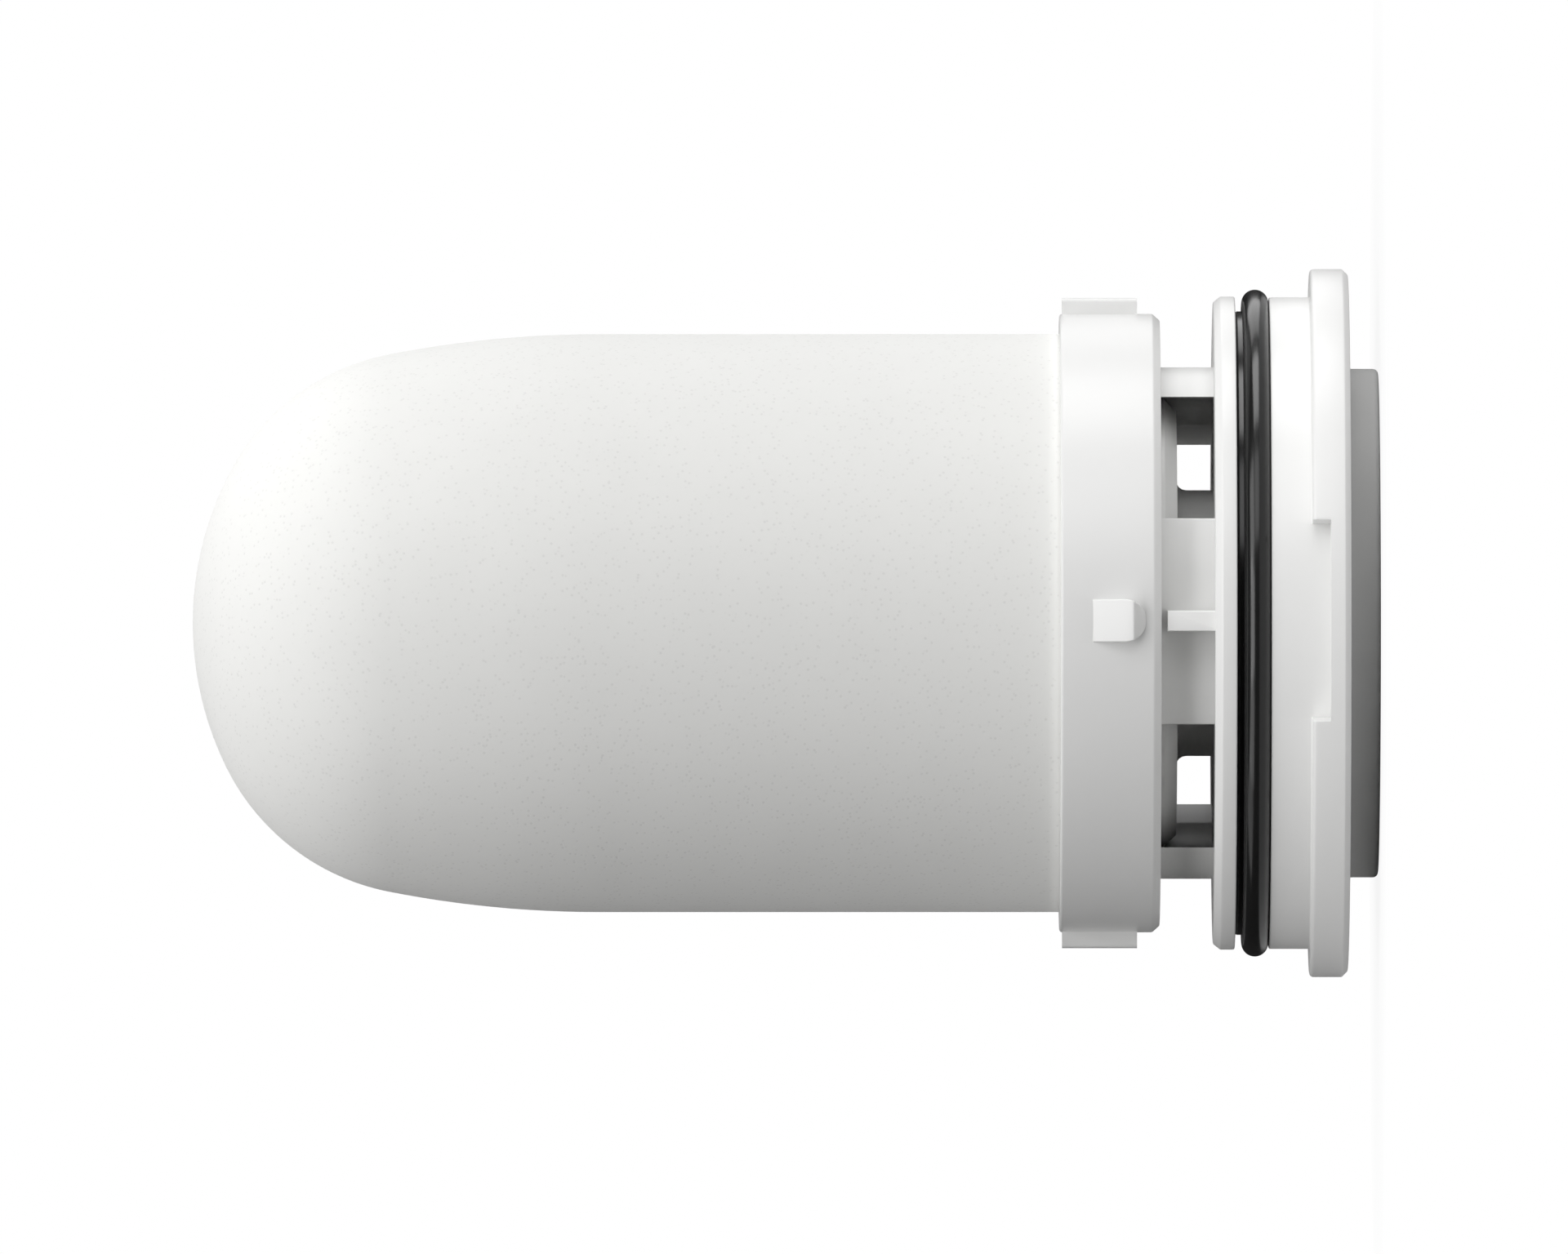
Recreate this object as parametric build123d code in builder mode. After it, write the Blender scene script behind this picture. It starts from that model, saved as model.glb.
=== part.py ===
from build123d import *
import math
import os

os.makedirs("parts", exist_ok=True)

# Faucet water filter cartridge. A hollow ceramic dome, full of carbon granules, is bonded into
# a plastic collar. Raw water seeps in through the ceramic, and clean water leaves by the
# collar's tube and the bore of the end cap. Sizes are millimetres.
# Z is the long axis with the dome up, and z = 0 is the end face of the boss.
# X runs through the two long lugs, and -Y is the side with the fin.

# Ceramic shell
shell_radius = 20.0
shell_wall = 5.0
shell_reach = 59.95
nose_angle = 26.0
nose_flattening = 2.6
shoulder_tuck = 4.0
blend_radius = 75.0

# Heights of the end cap and the collar, from the boss upwards
boss_height = 2.1
flange_thickness = 2.65
seat_height = 2.82
groove_width = 2.35
disc_thickness = 1.5
neck_height = 3.7
collar_height = 6.93

# Collar that holds the shell
collar_wall = 1.25
floor_thickness = 1.3
bond_thickness = 0.6
bond_gap = 0.15
collar_end_bevel = 0.5
collar_end_drop = 0.45
collar_rim_round = 0.2
plug_height = 1.15
plug_clearance = 0.05
plug_bevel = 0.85
spigot_wall = 1.8
spigot_height = 4.0
spigot_clearance = 0.2
funnel_ledge = 2.0
funnel_depth = 1.0

# Lugs and ramped studs on the collar
lug_height = 1.1
lug_width = 2.9
lug_foot = 1.55
lug_side_round = 0.7
lug_end_round = 0.3
stud_width = 2.95
stud_height = 1.1
stud_foot = 1.05
stud_crest = 1.9
stud_ramp_end = 4.75
stud_root = 1.0
stud_edge_round = 0.5

# Outlet tube of the collar, with its ring seal
tube_radius = 9.2
tube_bore_radius = 5.5
tube_root_round = 0.7
tail_radius = 8.4
tail_length = 6.0
tail_bevel = 0.4
tube_seal_section = 1.4
tube_seal_rise = 3.0
tube_groove_width = 1.9

# End cap
boss_radius = 17.6
boss_wall = 2.2
boss_round = 0.35
flange_radius = 24.5
flange_round = 0.28
flange_bevel = 0.4
seat_radius = 22.55
seat_edge_round = 0.12
groove_depth = 2.15
disc_lip = 2.2
disc_bevel = 0.5
disc_bevel_drop = 0.4
neck_radius = 17.7
neck_wall = 2.15
panel_width = 14.18
window_taper = 13.8
window_edge_round = 0.12
fin_thickness = 1.4
fin_radius = 20.8
fin_relief = 0.42
fin_edge_round = 0.1
notch_width = 14.2
notch_draft = 8.8
notch_depth = 1.25
socket_clearance = 0.1
socket_wall = 2.0
socket_ledge_gap = 0.3
outlet_bore_radius = 6.0
outlet_bevel = 0.5
pocket_roof = 2.2
rib_count = 6
rib_thickness = 1.4
rib_set_back = 0.6

# Outer ring seal
bead_section = 1.86
bead_rise = 0.53
seal_foot_thickness = 1.18
seal_play = 0.02

# Retaining grid, felt pad and carbon granules
grid_thickness = 1.2
grid_play = 0.1
grid_hole_radius = 1.0
grid_pitch = 3.2
charge_play = 0.1

# Depth by which a joined feature is rooted in the wall that carries it
root_depth = 0.5

# Heights that follow from the stack
flange_base = boss_height
seat_base = flange_base + flange_thickness
groove_base = seat_base + seat_height
disc_base = groove_base + groove_width
disc_top = disc_base + disc_thickness
collar_base = disc_top + neck_height
collar_rim = collar_base + collar_height
collar_floor = collar_base + floor_thickness
shell_foot = collar_floor + bond_thickness
dome_tip = collar_rim + shell_reach
plug_face = collar_base - plug_height
spigot_top = collar_floor + spigot_height
tail_end = disc_top - tail_length
socket_ledge = tail_end - socket_ledge_gap
pocket_top = disc_top - pocket_roof

# Radii that follow from the fits
bond_radius = shell_radius + bond_gap
collar_radius = bond_radius + collar_wall
cavity_radius = shell_radius - shell_wall
spigot_radius = cavity_radius - spigot_clearance
spigot_bore_radius = spigot_radius - spigot_wall
funnel_radius = spigot_bore_radius - funnel_ledge
neck_bore_radius = neck_radius - neck_wall
plug_radius = neck_bore_radius - plug_clearance
groove_floor_radius = seat_radius - groove_depth
disc_radius = groove_floor_radius + disc_lip
socket_radius = tail_radius + socket_clearance
outlet_radius = socket_radius + socket_wall
boss_bore_radius = boss_radius - boss_wall
tube_groove_radius = socket_radius - tube_seal_section

# The dome is three tangent arcs, nose, shoulder and a long blend into the straight side.
# Angles are measured from the axis, and the shoulder's makes the arcs reach the side exactly.
nose_radius = shell_radius + nose_flattening
shoulder_radius = shell_radius - shoulder_tuck
nose_rise = (nose_radius - shoulder_radius) * math.sin(math.radians(nose_angle))
shoulder_sine = (nose_rise + blend_radius - shell_radius) / (blend_radius - shoulder_radius)
shoulder_angle = math.degrees(math.asin(shoulder_sine))
nose_height = nose_radius * (1 - math.cos(math.radians(nose_angle)))
shoulder_cosine = math.cos(math.radians(shoulder_angle))
shoulder_height = shoulder_radius * (math.cos(math.radians(nose_angle)) - shoulder_cosine)
dome_height = nose_height + shoulder_height + blend_radius * shoulder_cosine
dome_spring = dome_tip - dome_height


def draw_dome(inset, foot):
    """Draw the shell's outline, set in from its outer face, and return its two ends."""
    side = Line((shell_radius - inset, foot), (shell_radius - inset, dome_spring))
    blend = JernArc(side @ 1, side % 1, blend_radius - inset, 90 - shoulder_angle)
    turn = shoulder_angle - nose_angle
    shoulder = JernArc(blend @ 1, blend % 1, shoulder_radius - inset, turn)
    nose = JernArc(shoulder @ 1, shoulder % 1, nose_radius - inset, nose_angle)
    return side @ 0, nose @ 1


def rims(part, radius, height):
    """Choose the round edges of a part that have one radius and lie at one height."""
    circles = part.edges().filter_by(GeomType.CIRCLE)
    same_size = circles.filter_by(lambda edge: abs(edge.radius - radius) < 0.01)
    return same_size.filter_by(lambda edge: abs(edge.arc_center.Z - height) < 0.01)


def reach(edge):
    """Give the distance from the axis to the middle of an edge."""
    middle = edge @ 0.5
    return math.hypot(middle.X, middle.Y)


# Ceramic shell, an even wall all the way round the dome
with BuildPart() as ceramic_shell:
    with BuildSketch(Plane.XZ):
        with BuildLine():
            outer_foot, outer_tip = draw_dome(0, shell_foot)
            inner_foot, inner_tip = draw_dome(shell_wall, shell_foot)
            Line(outer_tip, inner_tip)
            Line(inner_foot, outer_foot)
        make_face()
    revolve(axis=Axis.Z)
ceramic_shell.part.label = "ceramic_shell"
export_step(ceramic_shell.part, "parts/ceramic_shell.step")

# Ring of bonding compound between the shell's foot and the collar's floor
with BuildPart() as bonding_ring:
    with BuildSketch(Plane.XY.offset(collar_floor)):
        Circle(bond_radius)
        Circle(spigot_radius, mode=Mode.SUBTRACT)
    extrude(amount=bond_thickness)
bonding_ring.part.label = "bonding_ring"
export_step(bonding_ring.part, "parts/bonding_ring.step")

# Packed carbon granules, which fill the shell above the spigot and the felt pad
with BuildPart() as carbon_charge:
    with BuildSketch(Plane.XZ):
        with BuildLine():
            charge_foot, charge_tip = draw_dome(shell_wall + charge_play, spigot_top)
            Line(charge_tip, (0, spigot_top))
            Line((0, spigot_top), charge_foot)
        make_face()
    revolve(axis=Axis.Z)
carbon_charge.part.label = "carbon_charge"
export_step(carbon_charge.part, "parts/carbon_charge.step")

# Perforated grid on the ledge round the funnel
grid_ring_count = int((funnel_radius - grid_hole_radius) / grid_pitch)
with BuildPart() as retaining_grid:
    with BuildSketch(Plane.XY.offset(collar_floor)):
        Circle(spigot_bore_radius - grid_play)
        Circle(grid_hole_radius, mode=Mode.SUBTRACT)
        for ring in range(1, grid_ring_count + 1):
            with PolarLocations(ring * grid_pitch, 6 * ring):
                Circle(grid_hole_radius, mode=Mode.SUBTRACT)
    extrude(amount=grid_thickness)
retaining_grid.part.label = "retaining_grid"
export_step(retaining_grid.part, "parts/retaining_grid.step")

# Felt pad, which fills the spigot between the grid and the granules
with BuildPart() as felt_pad:
    with BuildSketch(Plane.XY.offset(collar_floor + grid_thickness)):
        Circle(spigot_bore_radius - grid_play)
    extrude(amount=spigot_height - grid_thickness)
felt_pad.part.label = "felt_pad"
export_step(felt_pad.part, "parts/felt_pad.step")

# Ramped stud, a round-ended block that rises from the collar and drops steeply at its foot.
# The ramp's edges are rounded, and the stud is rooted deeper than that round.
with BuildPart() as ramped_stud:
    stud_end_radius = stud_width / 2
    stud_low = collar_base + stud_foot
    stud_high = collar_base + stud_ramp_end
    with BuildSketch(Plane.XZ):
        with Locations((0, stud_low + stud_end_radius)):
            Circle(stud_end_radius)
            straight_length = stud_high - stud_low - stud_end_radius
            Rectangle(stud_width, straight_length, align=(Align.CENTER, Align.MIN))
    extrude(amount=collar_radius + stud_height)
    with BuildSketch(Plane.YZ):
        with BuildLine():
            Polyline(
                (stud_root - collar_radius, stud_low),
                (-collar_radius, stud_low),
                (-collar_radius - stud_height, collar_base + stud_crest),
                (-collar_radius, stud_high),
                (stud_root - collar_radius, stud_high),
                close=True,
            )
        make_face()
    extrude(amount=stud_width, both=True, mode=Mode.INTERSECT)
    ramp = ramped_stud.faces().filter_by(GeomType.PLANE).filter_by(
        lambda face: face.normal_at().Y < 0 < face.normal_at().Z)[0]
    fillet(ramp.edges().filter_by(lambda edge: (edge @ 0.5).Z < stud_high - 0.01), stud_edge_round)

# Collar with its floor, plug, inner spigot and outlet tube
with BuildPart() as collar:
    with BuildSketch(Plane.XZ):
        with BuildLine():
            Polyline(
                (tube_bore_radius, tail_end),
                (tail_radius, tail_end),
                (tail_radius, disc_top),
                (tube_radius, disc_top),
                (tube_radius, plug_face),
                (plug_radius, plug_face),
                (plug_radius, collar_base),
                (collar_radius, collar_base),
                (collar_radius, collar_rim),
                (bond_radius, collar_rim),
                (bond_radius, collar_floor),
                (spigot_radius, collar_floor),
                (spigot_radius, spigot_top),
                (spigot_bore_radius, spigot_top),
                (spigot_bore_radius, collar_floor),
                (funnel_radius, collar_floor),
                (funnel_radius, collar_floor - funnel_depth),
                (tube_bore_radius, collar_floor - funnel_depth),
                close=True,
            )
        make_face()
    revolve(axis=Axis.Z)
    fillet(rims(collar, tube_radius, plug_face), tube_root_round)
    chamfer(rims(collar, plug_radius, plug_face), plug_bevel)
    collar_side = collar.faces().filter_by(GeomType.CYLINDER).sort_by(SortBy.RADIUS)[-1]
    chamfer(rims(collar, collar_radius, collar_base), collar_end_bevel, collar_end_drop,
            reference=collar_side)
    fillet(rims(collar, collar_radius, collar_rim), collar_rim_round)
    chamfer(rims(collar, tail_radius, tail_end), tail_bevel)
    # Groove for the tube's ring seal
    with BuildSketch(Plane.XY.offset(tail_end + tube_seal_rise - tube_groove_width / 2)):
        Circle(tail_radius)
        Circle(tube_groove_radius, mode=Mode.SUBTRACT)
    extrude(amount=tube_groove_width, mode=Mode.SUBTRACT)
    # Two long lugs, which follow the collar's curve
    lug_low = collar_base + lug_foot
    lug_reach = collar_radius + lug_height
    with BuildSketch(Plane.XY.offset(lug_low)):
        Circle(lug_reach)
        Circle(collar_radius - root_depth, mode=Mode.SUBTRACT)
        Rectangle(3 * collar_radius, lug_width, mode=Mode.INTERSECT)
    extrude(amount=collar_height - lug_foot - collar_rim_round)
    fillet(collar.edges().filter_by(Axis.Z).filter_by(lambda edge: reach(edge) > lug_reach - 0.01),
           lug_side_round)
    feet = collar.edges().filter_by_position(Axis.Z, lug_low, lug_low)
    fillet(feet.filter_by(lambda edge: reach(edge) > collar_radius + 0.01), lug_end_round)
    with PolarLocations(0, 2):
        add(ramped_stud.part)
collar.part.label = "collar"
export_step(collar.part, "parts/collar.step")

# Ring seal on the tube
with BuildPart() as tube_seal:
    tube_seal_center = socket_radius - tube_seal_section / 2
    with BuildSketch(Plane.XZ):
        with Locations((tube_seal_center, tail_end + tube_seal_rise)):
            Circle(tube_seal_section / 2 - seal_play)
    revolve(axis=Axis.Z)
tube_seal.part.label = "tube_seal"
export_step(tube_seal.part, "parts/tube_seal.step")

# Outer ring seal, a round bead on a flat foot
with BuildPart() as ring_seal:
    with BuildSketch(Plane.XZ):
        with Locations((groove_floor_radius, groove_base + seal_play)):
            foot_width = groove_width - 2 * seal_play
            Rectangle(seal_foot_thickness, foot_width, align=(Align.MIN, Align.MIN))
        bead_radius = bead_section / 2
        bead_center = seat_radius + bead_rise - bead_radius
        with Locations((bead_center, groove_base + bead_radius + seal_play)):
            Circle(bead_radius)
    revolve(axis=Axis.Z)
ring_seal.part.label = "ring_seal"
export_step(ring_seal.part, "parts/ring_seal.step")

# Two drafted blocks that cut the flange's notches, as far in as the seal's seat
with BuildPart() as notch_cutter:
    with BuildSketch(Plane.XY.offset(seat_base - notch_depth)):
        with PolarLocations(flange_radius, 2, start_angle=-90):
            Trapezoid(notch_width, flange_radius - seat_radius / 2, 90 - notch_draft,
                      rotation=90, align=(Align.CENTER, Align.MIN))
        Circle(seat_radius, mode=Mode.SUBTRACT)
    extrude(amount=notch_depth)

# End cap with its boss, flange, seal groove, disc and slotted neck
with BuildPart() as end_cap:
    with BuildSketch(Plane.XZ):
        with BuildLine():
            Polyline(
                (outlet_bore_radius, 0),
                (outlet_radius, 0),
                (outlet_radius, pocket_top),
                (boss_bore_radius, pocket_top),
                (boss_bore_radius, 0),
                (boss_radius, 0),
                (boss_radius, flange_base),
                (flange_radius, flange_base),
                (flange_radius, seat_base),
                (seat_radius, seat_base),
                (seat_radius, groove_base),
                (groove_floor_radius, groove_base),
                (groove_floor_radius, disc_base),
                (disc_radius, disc_base),
                (disc_radius, disc_top),
                (neck_radius, disc_top),
                (neck_radius, collar_base),
                (neck_bore_radius, collar_base),
                (neck_bore_radius, disc_top),
                (socket_radius, disc_top),
                (socket_radius, socket_ledge),
                (outlet_bore_radius, socket_ledge),
                close=True,
            )
        make_face()
    revolve(axis=Axis.Z)
    disc_side = end_cap.faces().filter_by(GeomType.CYLINDER).filter_by(
        lambda face: abs(face.radius - disc_radius) < 0.01)
    chamfer(rims(end_cap, disc_radius, disc_top), disc_bevel, disc_bevel_drop,
            reference=disc_side[0])
    fillet(rims(end_cap, disc_radius, disc_base), seat_edge_round)
    fillet(rims(end_cap, seat_radius, groove_base), seat_edge_round)
    fillet(rims(end_cap, flange_radius, seat_base), flange_round)
    chamfer(rims(end_cap, flange_radius, flange_base), flange_bevel)
    fillet(rims(end_cap, boss_radius, 0), boss_round)
    chamfer(rims(end_cap, outlet_bore_radius, 0), outlet_bevel)
    # Ribs across the pocket behind the boss
    with BuildSketch(Plane.XY.offset(rib_set_back)):
        with PolarLocations((outlet_radius + boss_bore_radius) / 2, rib_count):
            Rectangle(boss_bore_radius - outlet_radius + root_depth, rib_thickness)
    extrude(amount=pocket_top - rib_set_back)
    # Windows in the neck, which taper towards the far side
    with BuildSketch(Plane.XY.offset(disc_top)):
        with BuildLine():
            far_edge = neck_bore_radius - disc_radius * math.tan(math.radians(window_taper))
            Polyline(
                (panel_width / 2, -disc_radius),
                (neck_bore_radius, -disc_radius),
                (neck_bore_radius, 0),
                (far_edge, disc_radius),
                (panel_width / 2, disc_radius),
                close=True,
            )
        make_face()
        mirror(about=Plane.YZ)
    extrude(amount=neck_height, mode=Mode.SUBTRACT)
    upright = end_cap.edges().filter_by(Axis.Z).filter_by_position(Axis.Z, disc_top, collar_base)
    fillet(upright.filter_by(lambda edge: reach(edge) > neck_radius - 0.01), window_edge_round)
    # Fin on the front panel, which stops short of the collar
    with BuildSketch(Plane.XY.offset(disc_top)):
        with Locations((0, root_depth - neck_radius)):
            fin_depth = fin_radius - neck_radius + root_depth
            Rectangle(fin_thickness, fin_depth, align=(Align.CENTER, Align.MAX))
    extrude(amount=neck_height - fin_relief)
    proud = end_cap.edges().filter_by(lambda edge: reach(edge) > fin_radius - 0.01)
    fin_top = collar_base - fin_relief
    fillet(proud.filter_by_position(Axis.Z, disc_top + fin_edge_round, fin_top), fin_edge_round)
    add(notch_cutter.part, mode=Mode.SUBTRACT)
end_cap.part.label = "end_cap"
export_step(end_cap.part, "parts/end_cap.step")
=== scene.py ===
import math
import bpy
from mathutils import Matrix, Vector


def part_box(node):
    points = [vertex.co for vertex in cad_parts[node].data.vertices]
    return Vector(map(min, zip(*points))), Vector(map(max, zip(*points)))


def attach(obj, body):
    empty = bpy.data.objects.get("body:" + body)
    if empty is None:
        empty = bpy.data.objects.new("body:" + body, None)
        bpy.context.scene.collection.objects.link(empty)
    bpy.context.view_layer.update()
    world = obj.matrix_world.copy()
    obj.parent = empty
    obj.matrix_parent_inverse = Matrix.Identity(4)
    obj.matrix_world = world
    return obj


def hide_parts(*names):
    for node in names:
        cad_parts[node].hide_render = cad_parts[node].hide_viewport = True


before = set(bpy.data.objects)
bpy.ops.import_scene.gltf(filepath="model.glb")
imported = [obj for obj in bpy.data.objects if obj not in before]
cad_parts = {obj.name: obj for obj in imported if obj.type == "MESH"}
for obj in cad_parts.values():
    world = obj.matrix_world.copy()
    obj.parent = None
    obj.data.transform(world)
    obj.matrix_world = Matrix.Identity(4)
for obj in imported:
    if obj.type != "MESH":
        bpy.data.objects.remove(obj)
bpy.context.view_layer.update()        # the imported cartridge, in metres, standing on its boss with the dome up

import types

import bmesh
import bpy
from mathutils import Matrix, Vector

bl_info = {
    "name": "Faucet Water Filter",
    "version": (1, 0, 0),
    "blender": (4, 5, 0),
    "location": "View3D > Sidebar > Filter",
    "description": "Models a washable ceramic tap filter cartridge and sets it in a plain studio",
    "category": "Add Mesh",
}

MM = 0.001
TURN_STEPS = 256
ROUND_STEPS = 4
SHARP_ANGLE = math.radians(32)
ROOT = 0.3          # depth by which a feature is rooted in the wall that carries it


def linear(code):
    """Turn an sRGB hex value such as '#F2F2F0' into linear red, green and blue."""
    channels = [int(code[place:place + 2], 16) / 255 for place in (1, 3, 5)]
    return [c / 12.92 if c <= 0.04045 else ((c + 0.055) / 1.055) ** 2.4 for c in channels]


def length(name, description, millimetres):
    """Declare a size that the user can change."""
    return bpy.props.FloatProperty(
        name=name, description=description, unit="LENGTH", precision=5, default=millimetres * MM)


def angle(name, description, degrees):
    """Declare an angle that the user can change."""
    return bpy.props.FloatProperty(
        name=name, description=description, unit="ROTATION", default=math.radians(degrees))


def colour(name, description, code):
    """Declare a colour that the user can change."""
    return bpy.props.FloatVectorProperty(
        name=name, description=description, subtype="COLOR", size=3, default=linear(code))


class CandleSizes(bpy.types.PropertyGroup):
    """Sizes of the ceramic candle, whose dome is three tangent arcs"""
    wall: length("Wall", "Thickness of the ceramic", 5.0)
    nose_radius: length("Nose radius", "Radius of the flat nose of the dome", 22.6)
    nose_angle: angle("Nose angle", "How far the nose reaches down from the axis", 26.0)
    shoulder_radius: length("Shoulder radius", "Radius of the dome's tighter shoulder", 16.0)
    blend_radius: length("Blend radius", "Radius of the long blend into the straight side", 75.0)
    foot_round: length("Foot round", "Rounding of the edges at the foot", 0.3)


class CollarSizes(bpy.types.PropertyGroup):
    """Sizes of the collar, with its lugs, studs, plug and tube"""
    height: length("Height", "Height of the collar's outer wall", 6.93)
    radius: length("Radius", "Radius of the collar's outer wall", 21.4)
    bore: length("Bore", "Radius inside the collar, which clears the candle", 20.15)
    floor: length("Floor", "Thickness of the collar's floor", 1.3)
    end_bevel: length("End bevel", "Height of the bevel at the neck end", 0.5)
    end_drop: length("End drop", "Depth of the bevel at the neck end", 0.45)
    rim_round: length("Rim round", "Rounding of the rim round the candle", 0.2)
    plug_radius: length("Plug radius", "Radius of the plug that fits the neck", 15.5)
    plug_height: length("Plug height", "How far the plug reaches into the neck", 1.15)
    plug_bevel: length("Plug bevel", "Bevel at the plug's edge", 0.85)
    tube_radius: length("Tube radius", "Radius of the outlet tube in the neck", 9.2)
    tube_bore: length("Tube bore", "Radius of the way through the tube", 5.5)
    tube_root: length("Tube root", "Rounding where the tube meets the plug", 0.7)
    tail_radius: length("Tail radius", "Radius of the tube in the end cap's socket", 8.4)
    tail_length: length("Tail length", "How far the tube reaches into the socket", 6.0)
    seal_rise: length("Seal rise", "Height of the tube's seal above its end", 3.0)
    seal_groove: length("Seal groove", "Width of the groove for the tube's seal", 1.9)
    seal_depth: length("Seal depth", "Depth of the groove for the tube's seal", 1.3)
    spigot_radius: length("Spigot radius", "Radius of the spigot inside the candle", 14.8)
    spigot_bore: length("Spigot bore", "Radius inside the spigot", 13.0)
    spigot_height: length("Spigot height", "Height of the spigot above the floor", 4.0)
    funnel_radius: length("Funnel radius", "Radius of the recess under the grid", 11.0)
    funnel_depth: length("Funnel depth", "Depth of the recess under the grid", 1.0)
    lug_reach: length("Lug reach", "Radius to the outside of the lugs and studs", 22.5)
    lug_width: length("Lug width", "Width of the two long lugs", 2.9)
    lug_foot: length("Lug foot", "Height from the collar's end to a long lug", 1.55)
    lug_side_round: length("Lug side round", "Rounding of a lug's long edges", 0.7)
    lug_end_round: length("Lug end round", "Rounding of a lug's edges at its foot", 0.3)
    stud_width: length("Stud width", "Width of the two ramped studs", 2.95)
    stud_foot: length("Stud foot", "Height from the collar's end to a stud's foot", 1.05)
    stud_crest: length("Stud crest", "Height from the collar's end to a stud's crest", 1.9)
    stud_ramp_end: length("Stud ramp end", "Height from the collar's end to a ramp's top", 4.75)
    stud_round: length("Stud round", "Rounding of a stud's edges", 0.5)


class CapSizes(bpy.types.PropertyGroup):
    """Sizes of the end cap, from its boss up to its neck"""
    boss_height: length("Boss height", "Height of the boss under the flange", 2.1)
    boss_radius: length("Boss radius", "Radius of the boss", 17.6)
    boss_bore: length("Boss bore", "Radius inside the boss's outer wall", 15.4)
    boss_round: length("Boss round", "Rounding of the boss's outer edge", 0.35)
    flange_thickness: length("Flange thickness", "Thickness of the flange", 2.65)
    flange_radius: length("Flange radius", "Radius of the flange", 24.5)
    flange_round: length("Flange round", "Rounding of the flange's upper edge", 0.28)
    flange_bevel: length("Flange bevel", "Bevel of the flange's lower edge", 0.4)
    seat_height: length("Seat height", "Height from the flange to the seal's groove", 2.82)
    seat_radius: length("Seat radius", "Radius of the seat below the seal", 22.55)
    groove_width: length("Groove width", "Width of the seal's groove", 2.35)
    groove_floor: length("Groove floor", "Radius of the groove's floor", 20.4)
    disc_thickness: length("Disc thickness", "Thickness of the disc above the groove", 1.5)
    disc_radius: length("Disc radius", "Radius of the disc above the groove", 22.6)
    disc_bevel: length("Disc bevel", "Height of the disc's bevel", 0.5)
    disc_drop: length("Disc drop", "Depth of the disc's bevel", 0.4)
    edge_round: length("Edge round", "Rounding of the moulding's fine edges", 0.12)
    neck_radius: length("Neck radius", "Radius outside the slotted neck", 17.7)
    neck_bore: length("Neck bore", "Radius inside the slotted neck", 15.55)
    panel_width: length("Panel width", "Width of the neck's front and back panels", 14.18)
    window_taper: angle("Window taper", "How far the windows narrow to the far side", 13.8)
    fin_thickness: length("Fin thickness", "Thickness of the fin on the front panel", 1.4)
    fin_radius: length("Fin radius", "Radius to the outer edge of the fin", 20.8)
    fin_relief: length("Fin relief", "Gap between the fin and the collar", 0.42)
    fin_round: length("Fin round", "Rounding of the fin's edges", 0.1)
    notch_width: length("Notch width", "Width of a notch at the flange's tangent", 14.2)
    notch_draft: angle("Notch draft", "Draft of a notch's side walls", 8.8)
    notch_depth: length("Notch depth", "Depth of a notch below the flange's top", 1.25)
    outlet_bore: length("Outlet bore", "Radius of the outlet bore", 6.0)
    outlet_radius: length("Outlet radius", "Radius outside the socket's wall", 10.5)
    outlet_bevel: length("Outlet bevel", "Bevel at the mouth of the outlet bore", 0.5)
    socket_radius: length("Socket radius", "Radius of the tube's socket", 8.5)
    socket_ledge: length("Socket ledge", "Height of the ledge below the socket", 5.12)
    pocket_roof: length("Pocket roof", "Thickness of the disc above the pocket", 2.2)
    rib_thickness: length("Rib thickness", "Thickness of the ribs in the pocket", 1.4)
    rib_set_back: length("Rib set back", "Height of the ribs above the boss's end", 0.6)
    rib_count: bpy.props.IntProperty(name="Ribs", description="Ribs in the pocket", default=6)


class SealSizes(bpy.types.PropertyGroup):
    """Sizes of the outer ring seal"""
    bead: length("Bead", "Diameter of the round bead", 1.86)
    foot: length("Foot", "Thickness of the flat foot", 1.18)
    foot_round: length("Foot round", "Rounding of the foot's outer edges", 0.15)


class FilterFinish(bpy.types.PropertyGroup):
    """Colours of the cartridge's finishes"""
    ceramic: colour("Ceramic", "Fired diatomite ceramic of the candle", "#FAFAF8")
    plastic: colour("Plastic", "White moulded ABS of the collar and the end cap", "#EFEFEE")
    rubber: colour("Rubber", "Black moulded rubber of the seals", "#1E1E1E")
    compound: colour("Compound", "Set bonding compound under the candle", "#D8D2C2")
    carbon: colour("Carbon", "Activated carbon granules", "#1C1C1D")
    felt: colour("Felt", "Needled polyester felt", "#E4E2DB")
    grid: colour("Grid", "Natural polypropylene of the grid", "#E6E7E4")


class FilterStudio(bpy.types.PropertyGroup):
    """The camera, the lamps and the floor"""
    frame_width: length("Frame width", "What the picture's width takes in at the axis", 108.5)
    frame_middle: length("Frame middle", "Height of the picture's middle above the floor", 41.09)
    axis_offset: length("Axis offset", "How far the axis lies above the picture's middle", 0.268)
    turn: angle("Turn", "How far round the camera stands from square on", 0.45)
    lens: bpy.props.FloatProperty(
        name="Lens", description="Focal length, in the camera's own millimetres", default=1100)
    floor_radius: length("Floor radius", "Radius of the round floor", 55.0)
    lamp_distance: length("Lamp distance", "Distance of the lamps from the cartridge", 1000.0)
    lamp_size: length("Lamp size", "Side of each square lamp", 600.0)
    fill: bpy.props.FloatProperty(name="Fill", description="Strength of the even fill", default=0.02)


def millimetres(group):
    """Give a group's sizes in millimetres, and its angles and counts as they are."""
    sizes = types.SimpleNamespace()
    for name, prop in group.bl_rna.properties.items():
        if prop.type in ("FLOAT", "INT"):
            value = getattr(group, name)
            setattr(sizes, name, value / MM if prop.unit == "LENGTH" else value)
    return sizes


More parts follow.
